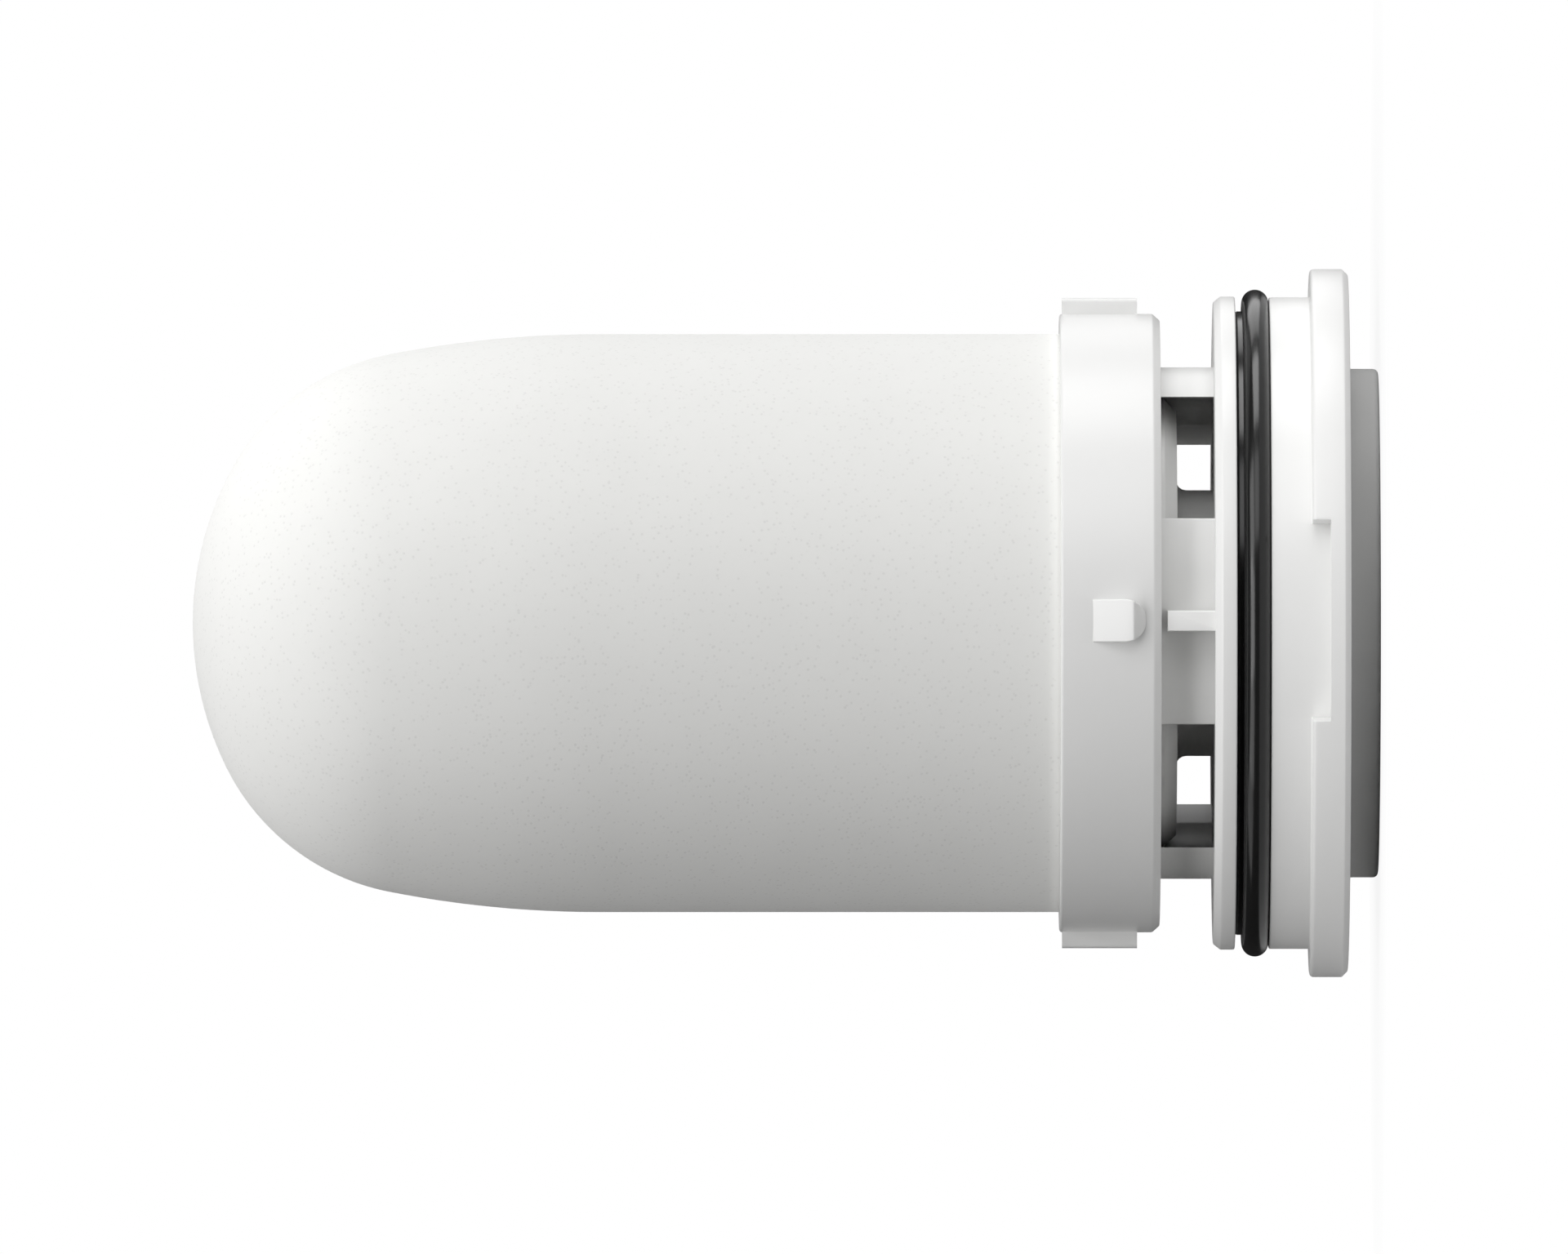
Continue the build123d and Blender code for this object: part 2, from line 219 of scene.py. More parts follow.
def outline(corners, rounds):
    """Draw a closed outline in the XZ plane and round some of its corners."""
    bm = bmesh.new()
    made = [bm.verts.new((radius, 0, height)) for radius, height in corners]
    bm.faces.new(made)
    by_size = {}
    for (radius, height), size in rounds.items():
        by_size.setdefault(size, []).append(nearest(bm, radius, height))
    for size, chosen in by_size.items():
        bmesh.ops.bevel(bm, geom=chosen, offset=size, segments=ROUND_STEPS, profile=0.5,
                        affect="VERTICES", material=-1)
    bmesh.ops.delete(bm, geom=bm.faces[:], context="FACES_ONLY")
    return bm


def nearest(bm, radius, height):
    """Choose the vertex of an outline that lies nearest to a point."""
    place = Vector((radius, 0, height))
    return min(bm.verts, key=lambda v: (v.co - place).length)


def last_vertex(spun):
    """Give the vertex where a spun arc ends."""
    return next(v for v in spun["geom_last"] if isinstance(v, bmesh.types.BMVert))


def draw_on(bm, pen, *places):
    """Draw straight lines from a vertex through places in turn, and return the last vertex."""
    for place in places:
        pen = bmesh.ops.extrude_vert_indiv(bm, verts=[pen])["verts"][0]
        pen.co = place
    return pen


def turn(bm, whole=True, span=2 * math.pi, steps=TURN_STEPS):
    """Turn an outline round the axis, with its start at X for a whole turn and centred on X if not."""
    if not whole:
        bmesh.ops.rotate(bm, cent=(0, 0, 0), matrix=Matrix.Rotation(-span / 2, 3, "Z"), verts=bm.verts)
    bmesh.ops.spin(bm, geom=bm.verts[:] + bm.edges[:] + bm.faces[:], cent=(0, 0, 0), axis=(0, 0, 1),
                   angle=span, steps=steps, use_merge=whole)
    bmesh.ops.remove_doubles(bm, verts=bm.verts, dist=0.001)
    bmesh.ops.recalc_face_normals(bm, faces=bm.faces)
    return bm


def slice_off(bm, place, facing):
    """Cut away what lies beyond a plane and close the cut."""
    cut = bmesh.ops.bisect_plane(bm, geom=bm.verts[:] + bm.edges[:] + bm.faces[:], plane_co=place,
                                 plane_no=facing, clear_outer=True)
    rim = [e for e in cut["geom_cut"] if isinstance(e, bmesh.types.BMEdge)]
    bmesh.ops.holes_fill(bm, edges=rim)
    return bm


def prism(corners, low, high):
    """Raise a plan outline from one height to another."""
    bm = bmesh.new()
    plan = bm.faces.new([bm.verts.new((x, y, low)) for x, y in corners])
    raised = bmesh.ops.extrude_face_region(bm, geom=[plan])
    moved = [v for v in raised["geom"] if isinstance(v, bmesh.types.BMVert)]
    bmesh.ops.translate(bm, verts=moved, vec=(0, 0, high - low))
    bmesh.ops.recalc_face_normals(bm, faces=bm.faces)
    return bm


def soften(bm, edges, size, segments=2):
    """Round some edges."""
    bmesh.ops.bevel(bm, geom=edges, offset=size, segments=segments, profile=0.5, affect="EDGES",
                    clamp_overlap=True, material=-1)


def ridges(bm):
    """Choose the sharp edges that stand out from a solid."""
    return [e for e in bm.edges if e.is_convex and e.calc_face_angle(0) > SHARP_ANGLE]


def repeat(bm, count):
    """Copy a mesh round the axis."""
    first = bm.verts[:] + bm.edges[:] + bm.faces[:]
    for step in range(1, count):
        made = bmesh.ops.duplicate(bm, geom=first)
        moved = [v for v in made["geom"] if isinstance(v, bmesh.types.BMVert)]
        about = Matrix.Rotation(2 * math.pi * step / count, 3, "Z")
        bmesh.ops.rotate(bm, cent=(0, 0, 0), matrix=about, verts=moved)
    return bm


def combine(base, operation, *others):
    """Unite a solid with others, cut them out of it or keep what it shares with them."""
    holders = []
    for bm in (base, *others):
        bmesh.ops.recalc_face_normals(bm, faces=bm.faces)
        mesh = bpy.data.meshes.new("solid")
        bm.to_mesh(mesh)
        bm.free()
        holders.append(bpy.data.objects.new("solid", mesh))
        bpy.context.scene.collection.objects.link(holders[-1])
    for other in holders[1:]:
        modifier = holders[0].modifiers.new("combine", "BOOLEAN")
        modifier.operation = operation
        modifier.solver = "EXACT"
        modifier.object = other
    graph = bpy.context.evaluated_depsgraph_get()
    result = bmesh.new()
    result.from_object(holders[0], graph)
    for holder in holders:
        mesh = holder.data
        bpy.data.objects.remove(holder)
        bpy.data.meshes.remove(mesh)
    bmesh.ops.remove_doubles(result, verts=result.verts, dist=0.001)
    return result


def finish_piece(bm, name, material, slot, *nodes):
    """Turn a mesh into a finished piece that stands for CAD nodes."""
    bmesh.ops.scale(bm, vec=(MM, MM, MM), verts=bm.verts)
    for face in bm.faces:
        face.smooth = True
    for edge in bm.edges:
        edge.smooth = edge.calc_face_angle(0) < SHARP_ANGLE
    mesh = bpy.data.meshes.new(name)
    bm.to_mesh(mesh)
    bm.free()
    mesh.materials.append(material)
    piece = bpy.data.objects.new(name, mesh)
    bpy.context.scene.collection.objects.link(piece)
    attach(piece, "root")
    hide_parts(*nodes)
    return piece


def add(tree, kind, inputs=None, **settings):
    """Add a node, set its settings, and fill or link its sockets."""
    node = tree.nodes.new(kind)
    for name, value in settings.items():
        setattr(node, name, value)
    for name, value in (inputs or {}).items():
        if isinstance(value, bpy.types.NodeSocket):
            tree.links.new(value, node.inputs[name])
        else:
            node.inputs[name].default_value = value
    return node


def new_material(name):
    """Start an empty material and return it with its node tree."""
    material = bpy.data.materials.new(name)
    material.use_nodes = True
    material.node_tree.nodes.clear()
    return material, material.node_tree


def per_metre(size):
    """Give the scale of a noise whose features are a size in millimetres."""
    return 1 / (size * MM)


def solid_finish(name, tone, cloud_size, cloud_depth, grain_size, grain_height, roughness,
                 roughness_spread, **sockets):
    """Build a finish of broad clouds in the colour, and a fine grain in the roughness and relief."""
    material, tree = new_material(name)
    place = add(tree, "ShaderNodeTexCoord").outputs["Object"]
    clouds = add(tree, "ShaderNodeTexNoise", {
        "Vector": place, "Scale": per_metre(cloud_size), "Detail": 3.0, "Roughness": 0.55})
    darker = [channel * (1 - cloud_depth) for channel in tone]
    mixed = add(tree, "ShaderNodeMix", {
        "Factor": clouds.outputs["Fac"], "A": (*darker, 1), "B": (*tone, 1)}, data_type="RGBA")
    grain = add(tree, "ShaderNodeTexNoise", {
        "Vector": place, "Scale": per_metre(grain_size), "Detail": 2.0, "Roughness": 0.6})
    satin = add(tree, "ShaderNodeMapRange", {
        "Value": grain.outputs["Fac"], "To Min": roughness - roughness_spread,
        "To Max": roughness + roughness_spread})
    relief = add(tree, "ShaderNodeBump", {
        "Height": grain.outputs["Fac"], "Strength": 1.0, "Distance": grain_height * MM})
    shader = add(tree, "ShaderNodeBsdfPrincipled", {
        "Base Color": mixed.outputs["Result"], "Roughness": satin.outputs["Result"],
        "Normal": relief.outputs["Normal"], **sockets})
    add(tree, "ShaderNodeOutputMaterial", {"Surface": shader.outputs["BSDF"]})
    return material


def fired_diatomite(finish):
    """Diatomite turned to shape and fired. Chalky matte white, with faint clouds, fine open pores
    whose colour carries a little painted shade, and the last faint rings of the turning tool."""
    material, tree = new_material("fired_diatomite")
    place = add(tree, "ShaderNodeTexCoord").outputs["Object"]
    clouds = add(tree, "ShaderNodeTexNoise", {
        "Vector": place, "Scale": per_metre(6), "Detail": 4.0, "Roughness": 0.6})
    pores = add(tree, "ShaderNodeTexVoronoi", {
        "Vector": place, "Scale": per_metre(0.45), "Randomness": 1.0})
    open_pores = add(tree, "ShaderNodeMapRange", {
        "Value": pores.outputs["Distance"], "From Min": 0.08, "From Max": 0.3},
        interpolation_type="SMOOTHSTEP")
    rings = add(tree, "ShaderNodeTexWave", {
        "Vector": place, "Scale": per_metre(18), "Distortion": 1.5, "Detail": 2.0,
        "Detail Scale": 0.4}, bands_direction="Z")
    tone = finish.ceramic
    darker = [channel * 0.965 for channel in tone]
    cloudy = add(tree, "ShaderNodeMix", {
        "Factor": clouds.outputs["Fac"], "A": (*darker, 1), "B": (*tone, 1)}, data_type="RGBA")
    # Painted shade: the colour is darkened to nine tenths in the open pores, where shadow would fall
    shadow = [channel * 0.9 for channel in tone]
    pore_shaded_tone = add(tree, "ShaderNodeMix", {
        "Factor": open_pores.outputs["Result"], "A": (*shadow, 1),
        "B": cloudy.outputs["Result"]}, data_type="RGBA")
    chalky = add(tree, "ShaderNodeMapRange", {
        "Value": clouds.outputs["Fac"], "To Min": 0.78, "To Max": 0.9})
    pitted = add(tree, "ShaderNodeBump", {
        "Height": open_pores.outputs["Result"], "Strength": 1.0, "Distance": 0.008 * MM})
    turned = add(tree, "ShaderNodeBump", {
        "Height": rings.outputs["Fac"], "Strength": 1.0, "Distance": 0.004 * MM,
        "Normal": pitted.outputs["Normal"]})
    shader = add(tree, "ShaderNodeBsdfPrincipled", {
        "Base Color": pore_shaded_tone.outputs["Result"], "Roughness": chalky.outputs["Result"],
        "Diffuse Roughness": 0.4, "IOR": 1.5, "Specular IOR Level": 0.3,
        "Normal": turned.outputs["Normal"]})
    add(tree, "ShaderNodeOutputMaterial", {"Surface": shader.outputs["BSDF"]})
    return material


def moulded_abs(finish):
    """ABS moulded in a fine-stoned tool. Bright satin white, with a soft broad highlight."""
    return solid_finish("moulded_abs", finish.plastic, cloud_size=9, cloud_depth=0.012,
                        grain_size=0.12, grain_height=0.0015, roughness=0.36,
                        roughness_spread=0.05, IOR=1.54)


def moulded_rubber(finish):
    """Rubber moulded in a polished tool. Near black, with narrow soft highlights and a faint bloom."""
    return solid_finish("moulded_rubber", finish.rubber, cloud_size=3, cloud_depth=0.3,
                        grain_size=0.15, grain_height=0.001, roughness=0.2,
                        roughness_spread=0.04, IOR=1.52)


def set_mortar(finish):
    """Epoxy mortar, poured and set. Warm grey and dull, with a sandy grain."""
    return solid_finish("set_mortar", finish.compound, cloud_size=2, cloud_depth=0.15,
                        grain_size=0.4, grain_height=0.05, roughness=0.7, roughness_spread=0.1)


def moulded_polypropylene(finish):
    """Unpainted moulded polypropylene. Milky and slightly waxy."""
    return solid_finish("moulded_polypropylene", finish.grid, cloud_size=5, cloud_depth=0.04,
                        grain_size=0.1, grain_height=0.001, roughness=0.34,
                        roughness_spread=0.05, IOR=1.49)


def packed_carbon(finish):
    """Activated carbon, crushed and packed. Black angular granules, some of them dusty and dull
    and some with brighter faces."""
    material, tree = new_material("packed_carbon")
    place = add(tree, "ShaderNodeTexCoord").outputs["Object"]
    granules = add(tree, "ShaderNodeTexVoronoi", {
        "Vector": place, "Scale": per_metre(0.9), "Randomness": 1.0}, distance="CHEBYCHEV")
    tone = finish.carbon
    dusty = [channel * 2.2 for channel in tone]
    mixed = add(tree, "ShaderNodeMix", {
        "Factor": granules.outputs["Color"], "A": (*tone, 1), "B": (*dusty, 1)}, data_type="RGBA")
    dull = add(tree, "ShaderNodeMapRange", {
        "Value": granules.outputs["Color"], "To Min": 0.35, "To Max": 0.85})
    relief = add(tree, "ShaderNodeBump", {
        "Height": granules.outputs["Distance"], "Strength": 1.0, "Distance": 0.3 * MM},
        invert=True)
    shader = add(tree, "ShaderNodeBsdfPrincipled", {
        "Base Color": mixed.outputs["Result"], "Roughness": dull.outputs["Result"],
        "Normal": relief.outputs["Normal"]})
    add(tree, "ShaderNodeOutputMaterial", {"Surface": shader.outputs["BSDF"]})
    return material


def needled_felt(finish):
    """Polyester felt, needled and cut. Soft matte white of crossing fibres, with a light fuzz."""
    material, tree = new_material("needled_felt")
    place = add(tree, "ShaderNodeTexCoord").outputs["Object"]
    along = add(tree, "ShaderNodeVectorMath", {0: place, 1: (1.0, 0.12, 1.0)}, operation="MULTIPLY")
    across = add(tree, "ShaderNodeVectorMath", {0: place, 1: (0.12, 1.0, 1.0)}, operation="MULTIPLY")
    warp = add(tree, "ShaderNodeTexNoise", {
        "Vector": along.outputs["Vector"], "Scale": per_metre(0.12), "Detail": 2.0,
        "Distortion": 0.6})
    weft = add(tree, "ShaderNodeTexNoise", {
        "Vector": across.outputs["Vector"], "Scale": per_metre(0.12), "Detail": 2.0,
        "Distortion": 0.6})
    fibres = add(tree, "ShaderNodeMath", {0: warp.outputs["Fac"], 1: weft.outputs["Fac"]},
                 operation="MAXIMUM")
    tone = finish.felt
    darker = [channel * 0.78 for channel in tone]
    mixed = add(tree, "ShaderNodeMix", {
        "Factor": fibres.outputs[0], "A": (*darker, 1), "B": (*tone, 1)}, data_type="RGBA")
    relief = add(tree, "ShaderNodeBump", {
        "Height": fibres.outputs[0], "Strength": 1.0, "Distance": 0.08 * MM})
    shader = add(tree, "ShaderNodeBsdfPrincipled", {
        "Base Color": mixed.outputs["Result"], "Roughness": 0.95, "Sheen Weight": 0.3,
        "Sheen Roughness": 0.5, "Normal": relief.outputs["Normal"]})
    add(tree, "ShaderNodeOutputMaterial", {"Surface": shader.outputs["BSDF"]})
    return material


def finished(build):
    """Give a finish by its function, and build it when it is first asked for."""
    finish = bpy.context.scene.filter_finish
    return bpy.data.materials.get(build.__name__) or build(finish)


class FILTER_OT_candle(bpy.types.Operator):
    """Model the ceramic candle"""
    bl_idname = "filter.candle"
    bl_label = "Ceramic candle"

    def execute(self, context):
        size = millimetres(context.scene.filter_candle)
        low, high = (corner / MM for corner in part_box("ceramic_shell"))
        radius, foot, tip = high.x, low.z, high.z
        # Centres of the three arcs, each on the line through the last one's end and centre
        nose = Vector((0, 0, tip - size.nose_radius))
        lean = Vector((math.sin(size.nose_angle), 0, math.cos(size.nose_angle)))
        shoulder = nose + lean * (size.nose_radius - size.shoulder_radius)
        reach = size.blend_radius - size.shoulder_radius
        side = math.asin((shoulder.x + size.blend_radius - radius) / reach)
        blend = shoulder - Vector((math.sin(side), 0, math.cos(side))) * reach
        arcs = ((nose, size.nose_angle, 12), (shoulder, side - size.nose_angle, 28),
                (blend, math.pi / 2 - side, 12))
        bm = bmesh.new()
        outer_tip = bm.verts.new((0, 0, tip))
        inner_tip = bm.verts.new((0, 0, tip - size.wall))
        ends = []
        for pen in (outer_tip, inner_tip):
            for centre, sweep, steps in arcs:
                pen = last_vertex(bmesh.ops.spin(
                    bm, geom=[pen], cent=centre, axis=(0, 1, 0), angle=sweep, steps=steps))
            ends.append(draw_on(bm, pen, (pen.co.x, 0, foot)))
        bm.edges.new(ends)
        turn(bm)
        rims = [e for e in bm.edges if all(abs(v.co.z - foot) < 0.01 for v in e.verts)
                and abs(e.verts[0].co.xy.length - e.verts[1].co.xy.length) < 0.01]
        soften(bm, rims, size.foot_round, ROUND_STEPS)
        finish_piece(bm, "ceramic_candle", finished(fired_diatomite), "ceramic", "ceramic_shell")
        return {"FINISHED"}


class FILTER_OT_collar(bpy.types.Operator):
    """Model the collar with its lugs, studs, plug and tube"""
    bl_idname = "filter.collar"
    bl_label = "Collar"

    def execute(self, context):
        size = millimetres(context.scene.filter_collar)
        low, high = (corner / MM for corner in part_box("collar"))
        rim = high.z
        base = rim - size.height
        floor = base + size.floor
        tail_end = low.z
        tail_top = tail_end + size.tail_length
        plug_face = base - size.plug_height
        funnel = floor - size.funnel_depth
        spigot_top = floor + size.spigot_height
        groove_low = tail_end + size.seal_rise - size.seal_groove / 2
        groove_high = groove_low + size.seal_groove
        groove_radius = size.tail_radius - size.seal_depth
        corners = (
            (size.tube_bore, tail_end), (size.tail_radius, tail_end),
            (size.tail_radius, groove_low), (groove_radius, groove_low),
            (groove_radius, groove_high), (size.tail_radius, groove_high),
            (size.tail_radius, tail_top), (size.tube_radius, tail_top),
            (size.tube_radius, plug_face), (size.plug_radius, plug_face),
            (size.plug_radius, base), (size.radius - size.end_drop, base),
            (size.radius, base + size.end_bevel), (size.radius, rim), (size.bore, rim),
            (size.bore, floor), (size.spigot_radius, floor), (size.spigot_radius, spigot_top),
            (size.spigot_bore, spigot_top), (size.spigot_bore, floor), (size.funnel_radius, floor),
            (size.funnel_radius, funnel), (size.tube_bore, funnel))
        rounds = {
            (size.tail_radius, tail_end): 0.4, (size.tube_radius, plug_face): size.tube_root,
            (size.radius - size.end_drop, base): 0.06, (size.radius, base + size.end_bevel): 0.1,
            (size.radius, rim): size.rim_round, (size.bore, rim): size.rim_round / 2}
        bm = outline(corners, rounds)
        bevelled = nearest(bm, size.plug_radius, plug_face)
        bmesh.ops.bevel(bm, geom=[bevelled], offset=size.plug_bevel, segments=1, profile=0.5,
                        affect="VERTICES", material=-1)
        body = turn(bm)
        # A long lug follows the collar's curve, with parallel sides and rounded edges
        lug_low = base + size.lug_foot
        lug_high = rim - size.rim_round
        section = outline(((size.radius - ROOT, lug_low), (size.lug_reach, lug_low),
                           (size.lug_reach, lug_high), (size.radius - ROOT, lug_high)), {})
        lug = turn(section, whole=False, span=math.radians(12), steps=12)
        for side in (-1, 1):
            slice_off(lug, (0, side * size.lug_width / 2, 0), (0, side, 0))
        sides = [e for e in ridges(lug) if abs(e.verts[0].co.z - e.verts[1].co.z) > ROOT
                 and e.verts[0].co.xy.length > size.lug_reach - 0.01]
        soften(lug, sides, size.lug_side_round, 2 * ROUND_STEPS)
        feet = [e for e in ridges(lug) if all(abs(v.co.z - lug_low) < 0.01 for v in e.verts)
                and any(v.co.xy.length > size.radius for v in e.verts)]
        soften(lug, feet, size.lug_end_round, ROUND_STEPS)
        repeat(lug, 2)
        # A ramped stud, round at its foot, rises to a crest and drops steeply
        half = size.stud_width / 2
        stud_low = base + size.stud_foot
        stud_high = base + size.stud_ramp_end
        crest = base + size.stud_crest
        front = -size.lug_reach - ROOT
        stud = bmesh.new()
        left = stud.verts.new((-half, front, stud_low + half))
        right = last_vertex(bmesh.ops.spin(
            stud, geom=[left], cent=(0, front, stud_low + half), axis=(0, -1, 0), angle=math.pi, steps=24))
        top = draw_on(stud, right, (half, front, stud_high), (-half, front, stud_high))
        stud.edges.new((top, left))
        face = bmesh.ops.contextual_create(stud, geom=stud.edges[:])["faces"]
        deep = bmesh.ops.extrude_face_region(stud, geom=face)
        moved = [v for v in deep["geom"] if isinstance(v, bmesh.types.BMVert)]
        bmesh.ops.translate(stud, verts=moved, vec=(0, ROOT - size.radius - front, 0))
        bmesh.ops.recalc_face_normals(stud, faces=stud.faces)
        top = Vector((0, -size.lug_reach, crest))
        for height in (stud_low, stud_high):
            run = Vector((0, -size.radius, height)) - top
            facing = Vector((0, -abs(run.z), run.y * math.copysign(1, run.z)))
            slice_off(stud, top, facing)
        proud = [e for e in ridges(stud) if all(v.co.y < -size.radius + 0.02 for v in e.verts)]
        soften(stud, proud, size.stud_round, ROUND_STEPS)
        repeat(stud, 2)
        bm = combine(body, "UNION", lug, stud)
        finish_piece(bm, "collar_moulding", finished(moulded_abs), "collar_plastic", "collar")
        return {"FINISHED"}


class FILTER_OT_cap(bpy.types.Operator):
    """Model the end cap with its neck, flange, boss and ribs"""
    bl_idname = "filter.cap"
    bl_label = "End cap"

    def execute(self, context):
        size = millimetres(context.scene.filter_cap)
        neck_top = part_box("end_cap")[1].z / MM
        flange_low = size.boss_height
        flange_high = flange_low + size.flange_thickness
        groove_low = flange_high + size.seat_height
        groove_high = groove_low + size.groove_width
        disc_top = groove_high + size.disc_thickness
        pocket = disc_top - size.pocket_roof
        fine = size.edge_round
        corners = (
            (size.outlet_bore + size.outlet_bevel, 0), (size.outlet_radius, 0),
            (size.outlet_radius, pocket), (size.boss_bore, pocket), (size.boss_bore, 0),
            (size.boss_radius, 0), (size.boss_radius, flange_low),
            (size.flange_radius - size.flange_bevel, flange_low),
            (size.flange_radius, flange_low + size.flange_bevel), (size.flange_radius, flange_high),
            (size.seat_radius, flange_high), (size.seat_radius, groove_low),
            (size.groove_floor, groove_low), (size.groove_floor, groove_high),
            (size.disc_radius, groove_high), (size.disc_radius, disc_top - size.disc_bevel),
            (size.disc_radius - size.disc_drop, disc_top), (size.socket_radius, disc_top),
            (size.socket_radius, size.socket_ledge), (size.outlet_bore, size.socket_ledge),
            (size.outlet_bore, size.outlet_bevel))
        rounds = {
            (size.outlet_radius, 0): fine, (size.boss_bore, 0): fine,
            (size.boss_radius, 0): size.boss_round, (size.boss_radius, flange_low): fine,
            (size.flange_radius - size.flange_bevel, flange_low): 0.08,
            (size.flange_radius, flange_low + size.flange_bevel): 0.08,
            (size.flange_radius, flange_high): size.flange_round,
            (size.seat_radius, flange_high): fine, (size.seat_radius, groove_low): fine,
            (size.disc_radius, groove_high): fine,
            (size.disc_radius, disc_top - size.disc_bevel): 0.08,
            (size.disc_radius - size.disc_drop, disc_top): 0.08}
        body = turn(outline(corners, rounds))
        # The neck is a ring with a window cut at each side, which narrows to the far side
        ring = turn(outline(((size.neck_bore, disc_top - ROOT), (size.neck_radius, disc_top - ROOT),
                             (size.neck_radius, neck_top), (size.neck_bore, neck_top)), {}))
        far = size.disc_radius
        panel = size.panel_width / 2
        side = size.neck_bore
        tip = side - far * math.tan(size.window_taper)
        windows = [prism([(turned * x, y) for x, y in (
            (panel, -far), (side, -far), (side, 0), (tip, far), (panel, far))],
            disc_top - 2 * ROOT, neck_top + ROOT) for turned in (-1, 1)]
        neck = combine(ring, "DIFFERENCE", *windows)
        uprights = [e for e in ridges(neck) if abs(e.verts[0].co.z - e.verts[1].co.z) > ROOT
                    and e.verts[0].co.xy.length > size.neck_radius - fine]
        soften(neck, uprights, fine)
        # The fin stands on the front panel and stops short of the collar
        half = size.fin_thickness / 2
        fin = prism(((-half, -size.fin_radius), (half, -size.fin_radius),
                     (half, ROOT - size.neck_radius), (-half, ROOT - size.neck_radius)),
                    disc_top - ROOT, neck_top - size.fin_relief)
        proud = [e for e in fin.edges if all(v.co.y < 0.01 - size.fin_radius for v in e.verts)
                 and any(v.co.z > disc_top for v in e.verts)]
        soften(fin, proud, size.fin_round)
        # Two notches are cut in the flange, as far in as the seat
        low, high = flange_high - size.notch_depth, flange_high + ROOT
        cutter = turn(outline(((size.seat_radius, low), (size.flange_radius + 1, low),
                               (size.flange_radius + 1, high), (size.seat_radius + ROOT, high),
                               (size.seat_radius, flange_high + fine)), {}))
        narrow = size.flange_radius * math.tan(size.notch_draft)
        wide = size.notch_width / 2
        blocks = [prism([(x, turned * y) for x, y in (
            (-wide - narrow, -2 * size.flange_radius), (wide + narrow, -2 * size.flange_radius),
            (wide - narrow / 2, -size.flange_radius / 2), (narrow / 2 - wide, -size.flange_radius / 2))],
            low - ROOT, high + ROOT) for turned in (-1, 1)]
        notches = combine(cutter, "INTERSECT", combine(blocks[0], "UNION", blocks[1]))
        # Ribs cross the pocket behind the boss
        half = size.rib_thickness / 2
        rib = prism(((size.outlet_radius - ROOT, -half), (size.boss_bore + ROOT, -half),
                     (size.boss_bore + ROOT, half), (size.outlet_radius - ROOT, half)),
                    size.rib_set_back, pocket + ROOT)
        repeat(rib, size.rib_count)
        body = combine(body, "DIFFERENCE", notches)
        slope = math.tan(size.notch_draft)
        sides = [e for e in ridges(body) if all(
            abs(abs(v.co.x) - wide - (abs(v.co.y) - size.flange_radius) * slope) < 0.01
            and v.co.z > flange_low for v in e.verts)]
        soften(body, sides, fine)
        bm = combine(body, "UNION", neck, fin, rib)
        finish_piece(bm, "end_cap_moulding", finished(moulded_abs), "cap_plastic", "end_cap")
        return {"FINISHED"}


class FILTER_OT_seal(bpy.types.Operator):
    """Model the outer ring seal"""
    bl_idname = "filter.seal"
    bl_label = "Ring seal"

    def execute(self, context):
        size = millimetres(context.scene.filter_seal)
        low, high = (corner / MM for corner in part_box("ring_seal"))
        cap = millimetres(context.scene.filter_cap)
        inner = cap.groove_floor
        foot = inner + size.foot
        bead = size.bead / 2
        centre = Vector((high.x - bead, 0, low.z + bead))
        rise = math.sqrt(bead ** 2 - (centre.x - foot) ** 2)
        sweep = math.pi + 2 * math.atan2(centre.x - foot, rise)
        bm = bmesh.new()
        start = bm.verts.new((foot, 0, centre.z + rise))
        under = last_vertex(bmesh.ops.spin(
            bm, geom=[start], cent=centre, axis=(0, 1, 0), angle=sweep, steps=48))
        last = draw_on(bm, under, (foot, 0, low.z), (inner, 0, low.z), (inner, 0, high.z),
                       (foot, 0, high.z))
        bm.edges.new((last, start))
        turn(bm)
        brims = [e for e in ridges(bm) if all(abs(v.co.z - high.z) < 0.01 for v in e.verts)
                 and e.verts[0].co.xy.length > foot - 0.01 and e.verts[1].co.xy.length > foot - 0.01]
        soften(bm, brims, size.foot_round, ROUND_STEPS)
        finish_piece(bm, "outer_ring_seal", finished(moulded_rubber), "seal_rubber", "ring_seal")
        return {"FINISHED"}


class FILTER_OT_insides(bpy.types.Operator):
    """Finish the pieces that the mouldings hold inside"""
    bl_idname = "filter.insides"
    bl_label = "Pieces inside"

    def execute(self, context):
        finishes = {
            "bonding_ring": set_mortar,
            "carbon_charge": packed_carbon,
            "felt_pad": needled_felt,
            "retaining_grid": moulded_polypropylene,
            "tube_seal": moulded_rubber,
        }
        for node, build in finishes.items():
            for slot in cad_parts[node].material_slots:
                slot.material = finished(build)
        return {"FINISHED"}


# Each lamp's direction from the cartridge and its power in watts
LAMPS = {
    "lamp_overhead": ((1, 0, 0.12), 4.4),
    "lamp_overhead_front": ((1, -1, 0.16), 2.0),
    "lamp_overhead_back": ((1, 1, 0.16), 1.8),
    "lamp_high_front": ((1, -1, 1.41), 2.8),
    "lamp_high_back": ((1, 1, 1.41), 0.4),
    "lamp_dome_front": ((0, -1, 1), 3.5),
    "lamp_dome_back": ((0, 1, 1), 0.7),
    "lamp_low": ((-1, 0, 1), 0.9),
    "lamp_low_front": ((-1, -1, 1.41), 1.9),
}


